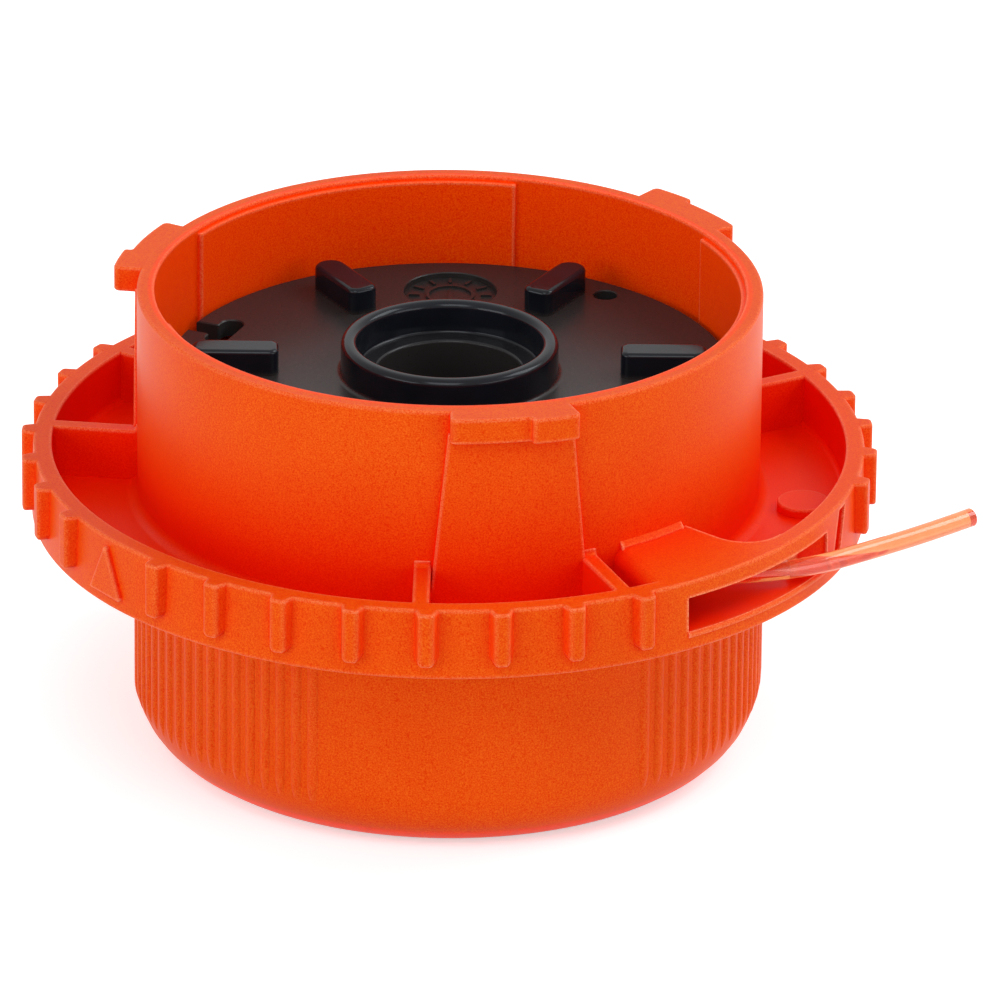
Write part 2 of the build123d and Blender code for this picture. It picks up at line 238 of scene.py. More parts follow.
EYE_R = 1.5
EYE_PITCH_R = 32.2
EYE_ANGLE = 52.0
EYE_SIDES = 40

# Line: the wound turns and the route of the free end
WINDING_INNER_R = 15.65
WINDING_R = 26.31
WINDING_FOOT = 24.6
WINDING_TURNS = 9
WINDING_CORE_LAP = 0.5
WINDING_CORE_EDGE = 0.4
WINDING_STEPS = 96
WINDING_SIDES = 12
TAIL_HEIGHT = 34.85
TAIL_POINTS = [
    (-1.7, -27.8),
    (9.5, -28.9),
    (21.5, -29.9),
    (33.0, -30.5),
    (44.3, -28.05),
    (53.0, -21.9),
    (60.5, -16.2),
    (65.5, -11.8),
]

# Plastics and floor: reaches in metres, and heights or radii in millimetres over which a tint fades
# Reach of the painted shade that reddens the housing's corners
PAINTED_SHADE_REACH = 0.02
# Reach of the paler edges, partly wear and partly a painted highlight
WEAR_AND_HIGHLIGHT_REACH = 0.0005
TINT_FADE = 0.5
RAISED_GAP = 0.1
RAISED_POLISH = 0.17
SPECKLE = [(0.3, (0.95, 0.42, 0.0)), (0.7, (1.05, 1.6, 2.6))]
FLOOR_GREYS = [(0.3, (0.83, 0.83, 0.83)), (0.7, (0.85, 0.85, 0.85))]
FLOOR_GLOW = 0.5

# Studio, in metres: each lamp's place, size and power as a share of the key lamp's
FLOOR_R = 6.0
CAMERA_PIVOT = 0.03
LAMP_COLOUR = (0.93, 1.0, 1.05)
LAMPS = {
    "key lamp": ((0.85, 0.25, 0.9), 0.6, 1.0),
    "left lamp": ((-1.0, -0.75, 0.35), 0.8, 1.3),
    "right lamp": ((1.0, -0.75, 0.35), 0.8, 0.85),
    "top lamp": ((-0.1, -0.8, 1.0), 0.6, 0.75),
}


# Drawing in millimetres

def polar(radius, angle, height=0.0):
    """Point at a radius, an angle and a height."""
    turn = math.radians(angle)
    return Vector((radius * math.cos(turn), radius * math.sin(turn), height))


def rounded(corners):
    """Points of a closed outline, counter-clockwise, from corners of x, y and rounding."""
    points = []
    for i, (x, y, radius) in enumerate(corners):
        here = Vector((x, y))
        if radius == 0:
            points.append(here)
            continue
        back = (Vector(corners[i - 1][:2]) - here).normalized()
        ahead = (Vector(corners[(i + 1) % len(corners)][:2]) - here).normalized()
        half = back.angle(ahead) / 2
        centre = here + (back + ahead).normalized() * radius / math.sin(half)
        spoke = here + back * radius / math.tan(half) - centre
        turn = math.copysign(math.pi - 2 * half, -back.cross(ahead))
        steps = max(2, math.ceil(abs(turn) / ARC_STEP))
        for k in range(steps + 1):
            points.append(centre + Matrix.Rotation(turn * k / steps, 2) @ spoke)
    return points


def sharp(corners):
    """Points of an outline that keeps its corners."""
    return [Vector(corner) for corner in corners]


def circle(radius, steps):
    """Points of a circle about the origin."""
    return [polar(radius, 360 * k / steps).to_2d() for k in range(steps)]


def inset(outline, amount):
    """A counter-clockwise outline moved inwards by an amount, or outwards by a negative one."""
    points = []
    for i, here in enumerate(outline):
        arriving = (here - outline[i - 1]).normalized()
        leaving = (outline[(i + 1) % len(outline)] - here).normalized()
        side = Vector((-arriving.y, arriving.x))
        middle = (side + Vector((-leaving.y, leaving.x))).normalized()
        points.append(here + middle * amount / middle.dot(side))
    return points


def refined(outline):
    """An outline with points added so that its sides can be bent."""
    points = []
    for i, here in enumerate(outline):
        ahead = outline[(i + 1) % len(outline)]
        steps = max(1, math.ceil((ahead - here).length / BEND_STEP))
        points += [here.lerp(ahead, k / steps) for k in range(steps)]
    return points


def stack(rings, closed=False):
    """Shape through rings of points, with a face over each end or joined end to end."""
    shape = bmesh.new()
    loops = [[shape.verts.new(point) for point in ring] for ring in rings]
    pairs = list(zip(loops, loops[1:]))
    if closed:
        pairs.append((loops[-1], loops[0]))
    for lower, upper in pairs:
        for i in range(len(lower)):
            shape.faces.new((lower[i - 1], lower[i], upper[i], upper[i - 1]))
    if not closed:
        shape.faces.new(loops[0])
        shape.faces.new(loops[-1])
    bmesh.ops.remove_doubles(shape, verts=shape.verts, dist=MERGE_GAP)
    bmesh.ops.recalc_face_normals(shape, faces=shape.faces)
    ends = [face for face in shape.faces if len(face.verts) > 4]
    bmesh.ops.triangulate(shape, faces=ends, ngon_method="EAR_CLIP")
    return shape


def upright(point, level):
    """Place of an outline's point that is drawn along +Z."""
    return Vector((point.x, point.y, level))


def bent(radius):
    """Places an outline of arc length and radius round the axis, drawn along +Z."""
    return lambda point, level: polar(point.y, math.degrees(point.x / radius), level)


def outward(angle, start=Vector((0, 0, 0))):
    """Places an outline of width and height, drawn from a start at an angle."""
    across = polar(1, angle + 90)
    return lambda point, level: start + polar(level, angle, point.y) + across * point.x


def edge_levels(edge):
    """Rises and insets that round an end of a prism."""
    if edge == 0:
        return [(0, 0)]
    turns = [math.pi / 2 * k / EDGE_STEPS for k in range(EDGE_STEPS + 1)]
    return [(edge * (1 - math.cos(t)), edge * (1 - math.sin(t))) for t in turns]


def prism(outline, low, high, low_edge=0.0, high_edge=0.0, place=upright):
    """Shape of an outline drawn from one level to another, with its two ends' edges rounded."""
    levels = [(low + rise, depth) for rise, depth in edge_levels(low_edge)]
    levels += [(high - rise, depth) for rise, depth in reversed(edge_levels(high_edge))]
    return stack([[place(point, level) for point in inset(outline, depth)] for level, depth in levels])


def turned(outline):
    """Shape of an outline of radius and height turned about the axis."""
    angles = [360 * k / TURN_STEPS for k in range(TURN_STEPS)]
    return stack([[polar(p.x, angle, p.y) for p in outline] for angle in angles], closed=True)


def sector(outline, start, end):
    """Shape of an outline of radius and height turned from one angle to another."""
    steps = math.ceil((end - start) * TURN_STEPS / 360)
    angles = [start + (end - start) * k / steps for k in range(steps + 1)]
    return stack([[polar(p.x, angle, p.y) for p in outline] for angle in angles])


def moved(shape, radius, angle):
    """A shape drawn at the origin, placed at a radius and turned to an angle."""
    turn = Matrix.Rotation(math.radians(angle), 4, "Z")
    bmesh.ops.transform(shape, matrix=Matrix.Translation(polar(radius, angle)) @ turn, verts=shape.verts)
    return shape


# Objects from shapes

def piece(name, shapes, material):
    """New object that holds some shapes, at the origin and in metres."""
    mesh = bpy.data.meshes.new(name)
    gathered = bmesh.new()
    for shape in shapes:
        shape.to_mesh(mesh)
        shape.free()
        gathered.from_mesh(mesh)
    bmesh.ops.scale(gathered, vec=Vector((MM, MM, MM)), verts=gathered.verts)
    gathered.to_mesh(mesh)
    gathered.free()
    mesh.materials.append(material)
    obj = bpy.data.objects.new(name, mesh)
    bpy.context.scene.collection.objects.link(obj)
    return obj


def settle(obj):
    """Makes an object's modifiers part of its mesh."""
    depsgraph = bpy.context.evaluated_depsgraph_get()
    evaluated = obj.evaluated_get(depsgraph)
    mesh = bpy.data.meshes.new_from_object(evaluated, preserve_all_data_layers=True, depsgraph=depsgraph)
    obj.modifiers.clear()
    old = obj.data
    obj.data = mesh
    bpy.data.meshes.remove(old)
    mesh.name = obj.name


def combine(obj, tool, operation):
    """Adds a tool object's solids to an object or takes them away, and removes the tool."""
    boolean = obj.modifiers.new("combine", "BOOLEAN")
    boolean.operation = operation
    boolean.solver = "MANIFOLD"
    boolean.object = tool
    settle(obj)
    bpy.data.objects.remove(tool)
    if not obj.data.polygons:
        raise RuntimeError(f"nothing is left of {obj.name} after {operation.lower()}")


def smooth(obj):
    """Shades an object smooth, apart from its sharp edges, with even normals on its flats."""
    obj.data.shade_smooth()
    obj.data.set_sharp_from_angle(angle=SHARP_ANGLE)
    normals = obj.modifiers.new("even normals", "WEIGHTED_NORMAL")
    normals.keep_sharp = True
    settle(obj)


def piece_tree(name, inputs):
    """New geometry nodes with named numbers: the tree, what it is given and where its piece goes."""
    tree = bpy.data.node_groups.new(name, "GeometryNodeTree")
    socket = tree.interface.new_socket
    socket("Geometry", in_out="INPUT", socket_type="NodeSocketGeometry")
    for label, default in inputs.items():
        kind = "NodeSocketInt" if isinstance(default, int) else "NodeSocketFloat"
        socket(label, in_out="INPUT", socket_type=kind).default_value = default
    socket("Material", in_out="INPUT", socket_type="NodeSocketMaterial")
    socket("Geometry", in_out="OUTPUT", socket_type="NodeSocketGeometry")
    given = tree.nodes.new("NodeGroupInput").outputs
    real = tree.nodes.new("GeometryNodeRealizeInstances")
    coats = {"Geometry": real.outputs["Geometry"], "Material": given["Material"]}
    coated = new_node(tree, "GeometryNodeSetMaterial", coats)
    new_node(tree, "NodeGroupOutput", {"Geometry": coated["Geometry"]})
    return tree, given, real.inputs["Geometry"]


def ring_tree():
    """Geometry nodes that repeat a piece round the axis, with one place left out where it is wanted."""
    inputs = {"Count": THIRDS, "Pitch": math.tau / THIRDS, "First": 0.0, "Left out": -1}
    tree, given, made = piece_tree("copies round the axis", inputs)
    places = new_node(tree, "GeometryNodePoints", {"Count": given["Count"]})
    index = tree.nodes.new("GeometryNodeInputIndex").outputs["Index"]
    kept = tree.nodes.new("FunctionNodeCompare")
    kept.data_type = "INT"
    kept.operation = "NOT_EQUAL"
    fill(tree, kept, {"A": index, "B": given["Left out"]})
    angle = math_node(tree, "MULTIPLY_ADD", index, given["Pitch"], given["First"])
    turn = new_node(tree, "ShaderNodeCombineXYZ", {"Z": angle})
    copied = {
        "Points": places["Points"],
        "Selection": kept.outputs["Result"],
        "Instance": given["Geometry"],
        "Rotation": turn["Vector"],
    }
    tree.links.new(new_node(tree, "GeometryNodeInstanceOnPoints", copied)["Instances"], made)
    return tree


def winding_tree():
    """Geometry nodes that wind a round line as a coil about the axis, over the piece's own core."""
    inputs = {"Turns": 10.0, "Radius": 0.02, "Height": 0.02, "Foot": 0.0, "Line radius": 0.001}
    tree, given, made = piece_tree("wound turns", inputs)
    spiral = {
        "Resolution": WINDING_STEPS,
        "Rotations": given["Turns"],
        "Start Radius": given["Radius"],
        "End Radius": given["Radius"],
        "Height": given["Height"],
    }
    coil = new_node(tree, "GeometryNodeCurveSpiral", spiral)
    lift = new_node(tree, "ShaderNodeCombineXYZ", {"Z": given["Foot"]})
    place = {"Geometry": coil["Curve"], "Translation": lift["Vector"]}
    raised = new_node(tree, "GeometryNodeTransform", place)
    line = {"Resolution": WINDING_SIDES, "Radius": given["Line radius"]}
    section = new_node(tree, "GeometryNodeCurvePrimitiveCircle", line)
    sweep = {"Curve": raised["Geometry"], "Profile Curve": section["Curve"], "Fill Caps": True}
    tube = new_node(tree, "GeometryNodeCurveToMesh", sweep)
    both = tree.nodes.new("GeometryNodeJoinGeometry")
    for part in (given["Geometry"], tube["Mesh"]):
        tree.links.new(part, both.inputs["Geometry"])
    tree.links.new(both.outputs["Geometry"], made)
    return tree


def apply_tree(obj, tree, **values):
    """Runs geometry nodes on an object with named inputs and keeps the result as its mesh."""
    nodes = obj.modifiers.new(tree.name, "NODES")
    nodes.node_group = tree
    values["Material"] = obj.data.materials[0]
    for item in tree.interface.items_tree:
        name = item.name.replace(" ", "_")
        if item.in_out == "INPUT" and name in values:
            nodes[item.identifier] = values[name]
    settle(obj)
    return obj


def copies(name, shapes, material, tree, count=THIRDS, pitch=360 / THIRDS, first=0.0, left_out=-1):
    """Object of some shapes repeated round the axis."""
    obj = piece(name, shapes, material)
    return apply_tree(
        obj, tree, Count=count, Pitch=math.radians(pitch), First=math.radians(first), Left_out=left_out
    )


# Housing shapes

def housing_body():
    """Cup, flange, collar, floor and spigot in one turned shape."""
    outline = [
        (0, 0, 0),
        (CUP_R, 0, CUP_EDGE_R),
        (CUP_R, FLANGE_BOTTOM, CUP_FILLET_R),
        (FLANGE_FOOT_R, FLANGE_BOTTOM, FLANGE_FOOT_EDGE_R),
        (FLANGE_R, FLANGE_TOP, FLANGE_EDGE_R),
        (TROUGH_R, FLANGE_TOP, RIM_EDGE_R),
        (TROUGH_R, TROUGH_FLOOR, TROUGH_CORNER_R),
        (COLLAR_R, TROUGH_FLOOR, TROUGH_FILLET_R),
        (COLLAR_R, HOUSING_TOP, COLLAR_EDGE_R),
        (BORE_R, HOUSING_TOP, BORE_EDGE_R),
        (BORE_R, FLOOR_TOP, FLOOR_FILLET_R),
        (THRUST_R, FLOOR_TOP, INNER_SOFT_R),
        (THRUST_R, THRUST_TOP, THRUST_EDGE_R),
        (SPIGOT_R, THRUST_TOP, INNER_SOFT_R),
        (SPIGOT_R, SPIGOT_TOP, SPIGOT_EDGE_R),
        (SPIGOT_CORE_R, SPIGOT_TOP, INNER_SOFT_R),
        (SPIGOT_CORE_R, THRUST_TOP, SPIGOT_EDGE_R),
        (0, THRUST_TOP, 0),
    ]
    return turned(rounded(outline))


def lug(edge):
    """Bayonet lug with a prouder stop at one end."""
    start, step, end = (math.radians(a) * COLLAR_R for a in (LUG_START, LUG_STOP_START, LUG_END))
    outline = [
        (start, COLLAR_R - SUNK, 0),
        (end, COLLAR_R - SUNK, 0),
        (end, LUG_STOP_R, LUG_CORNER_R),
        (step, LUG_STOP_R, LUG_STOP_CORNER_R),
        (step, LUG_R, LUG_STEP_R),
        (start, LUG_R, LUG_CORNER_R),
    ]
    return prism(refined(rounded(outline)), LUG_FOOT, HOUSING_TOP, edge, edge, bent(COLLAR_R))


def panel(edge):
    """Raised trapezoid under a lug that follows the collar's curve, with rounded sides."""
    rounding = edge_levels(edge)
    places = [(-1.0, rise, depth) for rise, depth in rounding]
    places += [(2 * k / PANEL_STEPS - 1, 0.0, 0.0) for k in range(1, PANEL_STEPS)]
    places += [(1.0, -rise, depth) for rise, depth in reversed(rounding)]
    sections = []
    for share, shift, depth in places:
        foot = PANEL_MID + math.degrees((share * PANEL_FOOT_W / 2 + shift) / COLLAR_R)
        top = PANEL_MID + math.degrees((share * PANEL_TOP_W / 2 + shift) / COLLAR_R)
        sections.append(
            [
                polar(COLLAR_R - SUNK, foot, TROUGH_FLOOR - SUNK),
                polar(PANEL_R - depth, foot, TROUGH_FLOOR - SUNK),
                polar(PANEL_R - depth, top, LUG_FOOT + SUNK),
                polar(COLLAR_R - SUNK, top, LUG_FOOT + SUNK),
            ]
        )
    return stack(sections)


def liner(edge):
    """Thicker stretch of the collar's inside."""
    start, end = (math.radians(a) * BORE_R for a in (LINER_START, LINER_END))
    outline = [
        (start, LINER_R, edge),
        (end, LINER_R, edge),
        (end, BORE_R + SUNK, 0),
        (start, BORE_R + SUNK, 0),
    ]
    return prism(refined(rounded(outline)), FLANGE_TOP, LINER_TOP, 0, edge, bent(BORE_R))


def rib(angle, lean, edge):
    """Rib across the trough, level with the flange's rim, with a fillet up to the collar."""
    middle = (TROUGH_R + COLLAR_R) / 2
    inner, outer = COLLAR_R - SUNK - middle, TROUGH_R + SUNK - middle
    wall = COLLAR_R + RIB_FILLET_PROUD - middle
    outline = [
        (inner, TROUGH_FLOOR - SUNK, 0),
        (outer, TROUGH_FLOOR - SUNK, 0),
        (outer, FLANGE_TOP, 0),
        (wall, FLANGE_TOP, RIB_FILLET_R),
        (wall, FLANGE_TOP + RIB_FILLET_R + edge, 0),
        (inner, FLANGE_TOP + RIB_FILLET_R + edge, 0),
    ]
    shape = prism(
        rounded(outline), -RIB_T / 2, RIB_T / 2, edge, edge, lambda p, level: Vector((p.x, -level, p.y))
    )
    return moved(moved(shape, 0, lean), middle, angle)


def nub(edge):
    """Grip nub with sloping flanks, soft corners and a round foot, level with the flange's rim."""
    corners = [
        (FLANGE_R - SUNK, -NUB_ROOT_W / 2, 0),
        (NUB_R, -NUB_W / 2, NUB_CORNER_R),
        (NUB_R, NUB_W / 2, NUB_CORNER_R),
        (FLANGE_R - SUNK, NUB_ROOT_W / 2, 0),
    ]
    outline = refined(rounded(corners))
    foot_r = NUB_ROOT_W / 2
    rings = []
    for rise, depth in edge_levels(NUB_FOOT_EDGE):
        ring = inset(outline, depth)
        rings.append([upright(p, NUB_FOOT + rise + foot_r - math.sqrt(foot_r**2 - p.y**2)) for p in ring])
    for rise, depth in reversed(edge_levels(edge)):
        rings.append([upright(p, FLANGE_TOP - rise) for p in inset(outline, depth)])
    return stack(rings)


def index_mark(edge):
    """Raised triangle on the flange that points up."""
    corners = [(-MARK_W / 2, MARK_FOOT), (MARK_W / 2, MARK_FOOT), (0, MARK_TOP)]
    outline = rounded([(*corner, MARK_CORNER_R) for corner in corners])
    return prism(outline, FLANGE_R - SUNK, MARK_R, 0, edge, outward(MARK_ANGLE))


def grip_rib():
    """Half-round rib down the cup that runs out on its rounded bottom edge."""
    reach = CUP_EDGE_R - GRIP_R
    centre = Vector((CUP_R + GRIP_PROUD - CUP_EDGE_R, GRIP_FOOT + CUP_EDGE_R))
    path = [(centre + Vector((reach, FLANGE_BOTTOM + SUNK - centre.y)), 0.0)]
    for k in range(GRIP_STEPS + 1):
        turn = GRIP_RUN_OUT * k / GRIP_STEPS
        path.append((centre + Vector((reach * math.cos(turn), -reach * math.sin(turn))), turn))
    rings = []
    for place, turn in path:
        out = Vector((math.cos(turn), 0, -math.sin(turn)))
        middle = Vector((place.x, 0, place.y))
        rings.append([middle + out * p.x + Vector((0, p.y, 0)) for p in circle(GRIP_R, GRIP_SIDES)])
    return stack(rings)


def cover_plate():
    """Plate over the line's way across the trough, rounded into the rim at its right."""
    left, right = (math.radians(a) * TROUGH_R for a in (WINDOW_LEFT - PLATE_OVERLAP, PLATE_RIGHT))
    outline = [
        (left, COLLAR_R - SUNK, 0),
        (right, COLLAR_R - SUNK, 0),
        (right, TROUGH_R, PLATE_CORNER_R),
        (right + PLATE_CORNER_R + SUNK, TROUGH_R, 0),
        (right + PLATE_CORNER_R + SUNK, TROUGH_R + SUNK, 0),
        (left, TROUGH_R + SUNK, 0),
    ]
    return prism(refined(rounded(outline)), SLOT_TOP, FLANGE_TOP, place=bent(TROUGH_R))


def plate_end():
    """Wall under the cover plate's left end, from the trough's floor to the plate's top."""
    corners = [
        polar(COLLAR_R - SUNK, PLATE_LEFT),
        polar(TROUGH_R + SUNK, PLATE_LEFT_RIM),
        polar(TROUGH_R + SUNK, WINDOW_LEFT),
        polar(COLLAR_R - SUNK, WINDOW_LEFT),
    ]
    return prism([corner.to_2d() for corner in corners], TROUGH_FLOOR - SUNK, FLANGE_TOP)


def plate_edge_cut():
    """What is taken off the cover plate's left end to round it."""
    start = polar(COLLAR_R - SUNK, PLATE_LEFT)
    run = polar(TROUGH_R + SUNK, PLATE_LEFT_RIM) - start
    way = math.degrees(math.atan2(run.y, run.x))
    above = FLANGE_TOP + SUNK
    corner = rounded(
        [
            (0, FLANGE_TOP - 2 * PLATE_EDGE_R, 0),
            (2 * PLATE_EDGE_R, FLANGE_TOP, 0),
            (0, FLANGE_TOP, PLATE_EDGE_R),
        ]
    )
    beyond = [(PLATE_EDGE_R, above), (-PLATE_EDGE_R, above), (-PLATE_EDGE_R, FLANGE_TOP - PLATE_EDGE_R)]
    outline = sharp(beyond) + list(reversed(corner[2:]))
    return prism(outline, -SUNK, run.length + SUNK, place=outward(way, start))


def plate_strip():
    """Sloping strip where the cover plate meets the collar."""
    outline = [
        (COLLAR_R - SUNK, FLANGE_TOP - SUNK),
        (COLLAR_R + STRIP_W, FLANGE_TOP - SUNK),
        (COLLAR_R + STRIP_W, FLANGE_TOP + STRIP_FOOT_H),
        (COLLAR_R, FLANGE_TOP + STRIP_H),
        (COLLAR_R - SUNK, FLANGE_TOP + STRIP_H),
    ]
    return sector(sharp(outline), STRIP_LEFT, STRIP_RIGHT)


def stud(edge):
    """Round stud on the trough's floor."""
    shape = prism(circle(STUD_R, STUD_SIDES), TROUGH_FLOOR - SUNK, TROUGH_FLOOR + STUD_H, 0, edge)
    return moved(shape, STUD_PITCH_R, STUD_ANGLE)


def slot_cut():
    """Slot in the flange's rim with a ramp at its right end."""
    inner = TROUGH_R - SLOT_CUT_INWARDS
    outer = FLANGE_R + SLOT_CUT_OUTWARDS
    corners = [
        polar(inner, SLOT_LEFT),
        polar(outer, SLOT_LEFT),
        polar(outer, SLOT_RIGHT),
        polar(FLANGE_R - RAMP_STEP, SLOT_RIGHT),
        polar(TROUGH_R, RAMP_START),
        polar(inner, RAMP_START),
    ]
    return prism([corner.to_2d() for corner in corners], TROUGH_FLOOR, SLOT_TOP)


def slot_lip():
    """Lip along the slot's lower edge."""
    outline = [
        (FLANGE_R - SUNK, SLOT_LIP_FOOT, 0),
        (SLOT_LIP_R, SLOT_LIP_FOOT, SLOT_LIP_FOOT_EDGE),
        (SLOT_LIP_R, TROUGH_FLOOR, SLOT_LIP_EDGE),
        (FLANGE_R - SUNK, TROUGH_FLOOR, 0),
    ]
    return sector(rounded(outline), SLOT_LEFT, SLOT_RIGHT)


def notch_cut():
    """Slanting notch in the flange's rim beside the slot."""
    shift = (NOTCH_TOP - TROUGH_FLOOR) / 2 * math.tan(NOTCH_LEAN)
    corners = [
        (-NOTCH_W / 2 - shift, TROUGH_FLOOR),
        (NOTCH_W / 2 - shift, TROUGH_FLOOR),
        (NOTCH_W / 2 + shift, NOTCH_TOP),
        (-NOTCH_W / 2 + shift, NOTCH_TOP),
    ]
    outline = rounded([(*corner, NOTCH_CORNER_R) for corner in corners])
    return prism(outline, FLANGE_R - NOTCH_DEPTH, NUB_R, place=outward(NOTCH_ANGLE))


def window_cut():
    """Window in the collar behind the cover plate."""
    outline = [
        (BORE_R - SUNK, TROUGH_FLOOR),
        (COLLAR_R + TROUGH_FILLET_R, TROUGH_FLOOR),
        (COLLAR_R + TROUGH_FILLET_R, SLOT_TOP),
        (BORE_R - SUNK, SLOT_TOP),
    ]
    return sector(sharp(outline), WINDOW_LEFT, WINDOW_RIGHT)


# Reel shapes

def reel_body():
    """Flanges, drum, boss, drive bore and sleeve in one turned shape."""
    outline = [
        (SLEEVE_BORE_R, REEL_FOOT, 0),
        (SLEEVE_R, REEL_FOOT, SLEEVE_EDGE_R),
        (SLEEVE_R, SLEEVE_TOP, 0),
        (DRIVE_WALL_R, SLEEVE_TOP, REEL_EDGE_R),
        (DRIVE_WALL_R, WIND_TOP, REEL_EDGE_R),
        (DRUM_INNER_R, WIND_TOP, REEL_EDGE_R),
        (DRUM_INNER_R, REEL_LOW, REEL_EDGE_R),
        (REEL_R, REEL_LOW, REEL_EDGE_R),
        (REEL_R, WIND_LOW, REEL_EDGE_R),
        (DRUM_R, WIND_LOW, REEL_EDGE_R),
        (DRUM_R, WIND_TOP, REEL_EDGE_R),
        (REEL_R, WIND_TOP, REEL_EDGE_R),
        (REEL_R, REEL_TOP, REEL_EDGE_R),
        (BOSS_R, REEL_TOP, BOSS_FILLET_R),
        (BOSS_R, BOSS_TOP, BOSS_EDGE_R),
        (COUNTERBORE_R, BOSS_TOP, BOSS_EDGE_R),
        (COUNTERBORE_R, COUNTERBORE_FLOOR, REEL_EDGE_R),
        (DRIVE_R, COUNTERBORE_FLOOR, REEL_EDGE_R),
        (DRIVE_R, DRIVE_FLOOR, REEL_EDGE_R),
        (SLEEVE_BORE_R, DRIVE_FLOOR, SLEEVE_EDGE_R),
    ]
    return turned(rounded(outline))


def dog(edge):
    """Drive dog, round at its outer end and soft at its other corners."""
    outline = [
        (DOG_INNER_R, -DOG_W / 2, DOG_CORNER_R),
        (DOG_OUTER_R, -DOG_W / 2, DOG_END_R),
        (DOG_OUTER_R, DOG_W / 2, DOG_END_R),
        (DOG_INNER_R, DOG_W / 2, DOG_CORNER_R),
    ]
    return prism(rounded(outline), REEL_TOP - SUNK, DOG_TOP, 0, edge)


def web():
    """Web inside the drum that runs on as a gusset below the lower flange."""
    outline = [
        (SLEEVE_R - SUNK, WEB_FOOT),
        (SLEEVE_R + SUNK, WEB_FOOT),
        (WEB_REACH, REEL_LOW - SUNK),
        (WEB_REACH, REEL_LOW + SUNK),
        (DRUM_INNER_R + SUNK, REEL_LOW + SUNK),
        (DRUM_INNER_R + SUNK, WIND_TOP + SUNK),
        (DRIVE_WALL_R - SUNK, WIND_TOP + SUNK),
        (DRIVE_WALL_R - SUNK, DRIVE_FLOOR - SUNK),
        (SLEEVE_R - SUNK, DRIVE_FLOOR - SUNK),
    ]
    return prism(sharp(outline), -WEB_T / 2, WEB_T / 2, place=lambda p, level: Vector((p.x, level, p.y)))


def flared_hole(outline, low, flare):
    """Cutter down from the reel's top face with a flared mouth."""
    levels = [(low, 0.0), (REEL_TOP - flare, 0.0), (REEL_TOP + flare, -2 * flare)]
    return stack([[upright(point, level) for point in inset(outline, depth)] for level, depth in levels])


def keyhole_cut():
    """T-shaped hole for the line's end: a slot along the rim and a neck out to it."""
    half_l, half_w = KEYHOLE_L / 2, KEYHOLE_W / 2
    out = REEL_R - KEYHOLE_PITCH_R + KEYHOLE_NECK_PAST_RIM
    end_r = half_w * KEYHOLE_ROUNDNESS
    outline = [
        (-half_w, -half_l, end_r),
        (half_w, -half_l, end_r),
        (half_w, -half_w, KEYHOLE_NECK_R),
        (out, -half_w, 0),
        (out, half_w, 0),
        (half_w, half_w, KEYHOLE_NECK_R),
        (half_w, half_l, end_r),
        (-half_w, half_l, end_r),
    ]
    hole = flared_hole(rounded(outline), WIND_TOP - SUNK, KEYHOLE_FLARE)
    return moved(hole, KEYHOLE_PITCH_R, KEYHOLE_ANGLE)


def stamp_marks():
    """Plain dial in the round recess: a ring, short ticks and a pointer."""
    low, high = REEL_TOP - STAMP_DEPTH - SUNK, REEL_TOP - STAMP_DEPTH + STAMP_MARK_H
    inner, outer = STAMP_RING_R
    shapes = [turned(sharp([(inner, low), (outer, low), (outer, high), (inner, high)]))]
    shapes.append(prism(sharp(STAMP_POINTER), low, high))
    for k in range(STAMP_TICKS):
        tick = prism(sharp(STAMP_TICK), low, high)
        shapes.append(moved(tick, STAMP_TICK_R, 360 * k / STAMP_TICKS))
    for shape in shapes:
        bmesh.ops.translate(shape, vec=polar(STAMP_PITCH_R, STAMP_ANGLE), verts=shape.verts)
    return shapes


# Finishes

def fill(tree, node, values):
    """Gives a node's sockets their values or links, by name or number, and returns its outputs."""
    for name, value in values.items():
        if isinstance(value, bpy.types.NodeSocket):
            tree.links.new(value, node.inputs[name])
        else:
            node.inputs[name].default_value = value
    return node.outputs


def new_node(tree, kind, values):
    """Outputs of a new node with its sockets filled."""
    return fill(tree, tree.nodes.new(kind), values)


def operate(tree, kind, operation, *values):
    """Outputs of a new node that works on its values, each a constant or another node's output."""
    node = tree.nodes.new(kind)
    node.operation = operation
    return fill(tree, node, dict(enumerate(values)))


def math_node(tree, operation, *values):
    """Result of an operation on numbers."""
    return operate(tree, "ShaderNodeMath", operation, *values)["Value"]


def vector_node(tree, operation, *values):
    """Results of an operation on vectors."""
    return operate(tree, "ShaderNodeVectorMath", operation, *values)


def shader_material(name):
    """New material with its node tree, its shader and its object coordinates."""
    material = bpy.data.materials.new(name)
    material.use_nodes = True
    shader = material.node_tree.nodes["Principled BSDF"]
    place = material.node_tree.nodes.new("ShaderNodeTexCoord")
    return material, material.node_tree, shader, place.outputs["Object"]


def noise(tree, place, scale, detail):
    """Noise of a given fineness, in waves a metre."""
    return new_node(tree, "ShaderNodeTexNoise", {"Vector": place, "Scale": scale, "Detail": detail})["Fac"]


def ramp(tree, factor, stops):
    """Colour ramp over a factor, from stops of position and colour."""
    node = tree.nodes.new("ShaderNodeValToRGB")
    for element, (position, colour) in zip(node.color_ramp.elements, stops):
        element.position = position
        element.color = (*colour, 1.0)
    tree.links.new(factor, node.inputs["Fac"])
    return node.outputs["Color"]


def spread(tree, factor, low, high, start=0.3, end=0.7):
    """A factor, such as noise, spread between two values."""
    values = {"Value": factor, "From Min": start, "From Max": end, "To Min": low, "To Max": high}
    return new_node(tree, "ShaderNodeMapRange", values)["Result"]


def mixed(tree, factor, first, second):
    """Two colours mixed by a factor."""
    node = tree.nodes.new("ShaderNodeMix")
    node.data_type = "RGBA"
    numbers = {socket.identifier: number for number, socket in enumerate(node.inputs)}
    values = {"Factor": factor}
    for colour, name in ((first, "A_Color"), (second, "B_Color")):
        values[numbers[name]] = colour if isinstance(colour, bpy.types.NodeSocket) else (*colour, 1.0)
    return next(socket for socket in fill(tree, node, values) if socket.identifier == "Result_Color")


